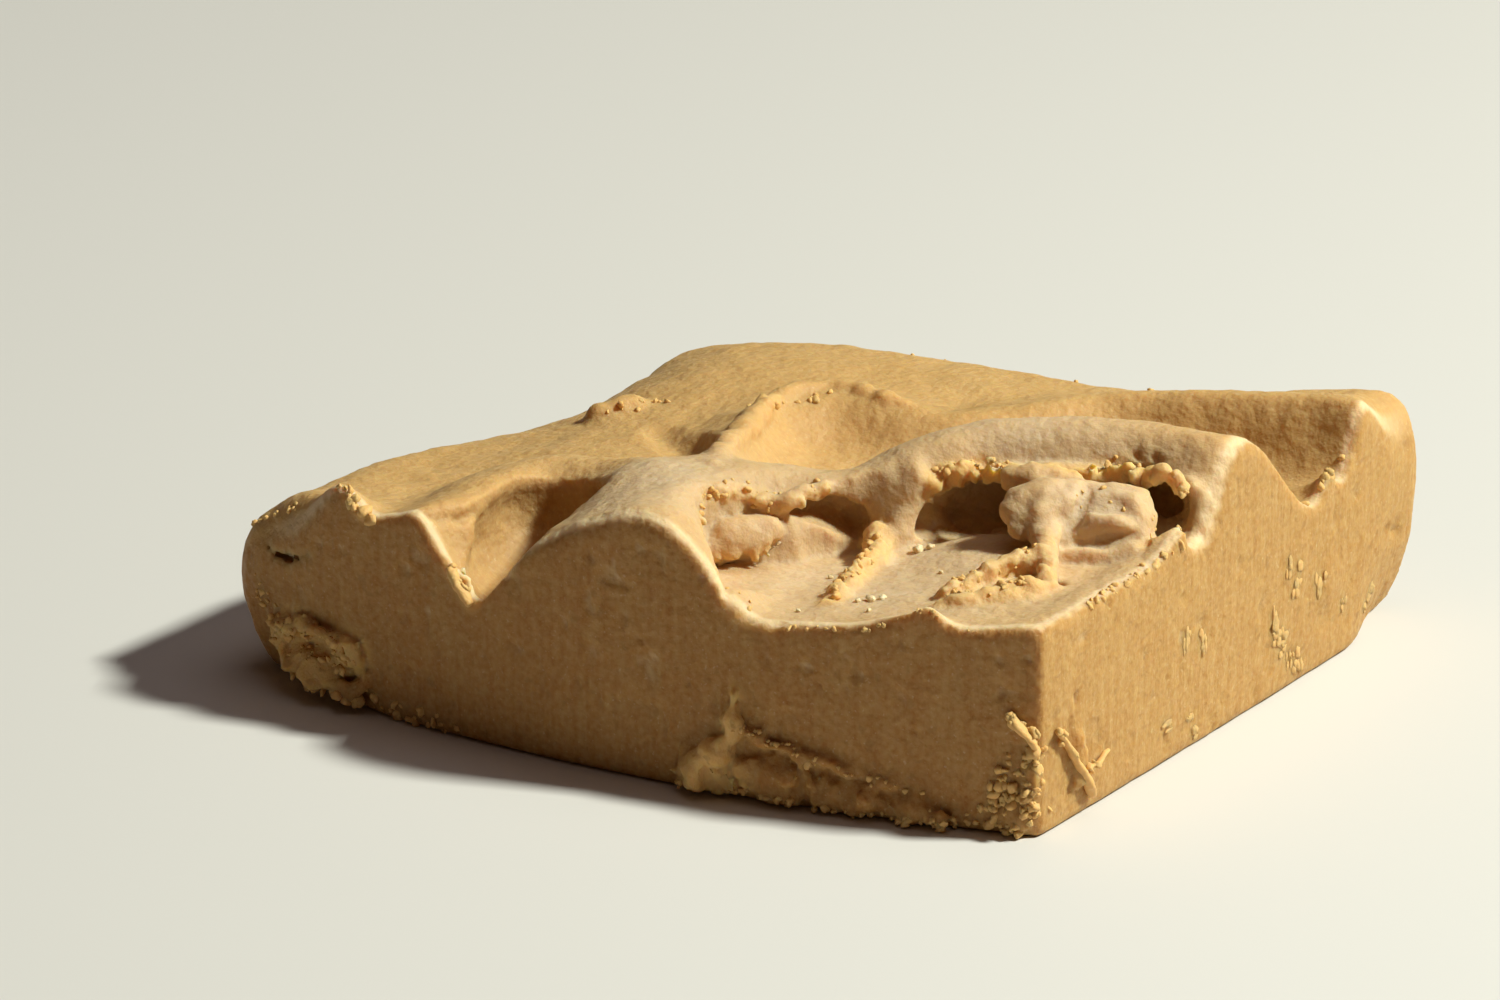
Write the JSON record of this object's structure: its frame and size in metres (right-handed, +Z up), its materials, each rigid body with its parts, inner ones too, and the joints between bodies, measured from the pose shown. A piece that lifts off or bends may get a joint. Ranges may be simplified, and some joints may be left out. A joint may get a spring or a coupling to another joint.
{
  "type": "penuche fudge",
  "caption": "Hand-cut slab of brown-sugar fudge with straight knife-cut sides and a deeply swirled top of ridges, scoops and overhanging lips.",
  "frame": {"origin": "middle of the flat base, at bounding-box bottom centre", "axes": "+Z up, +X along the long knife-cut face, -Y out of that face"},
  "size_m": [0.104, 0.0902, 0.0322],
  "materials": {
    "fudge": "satin, faintly waxy, fine sugar grain"
  },
  "bodies": {
    "root": {"fudge_slab": "fudge"}
  },
  "joints": []
}
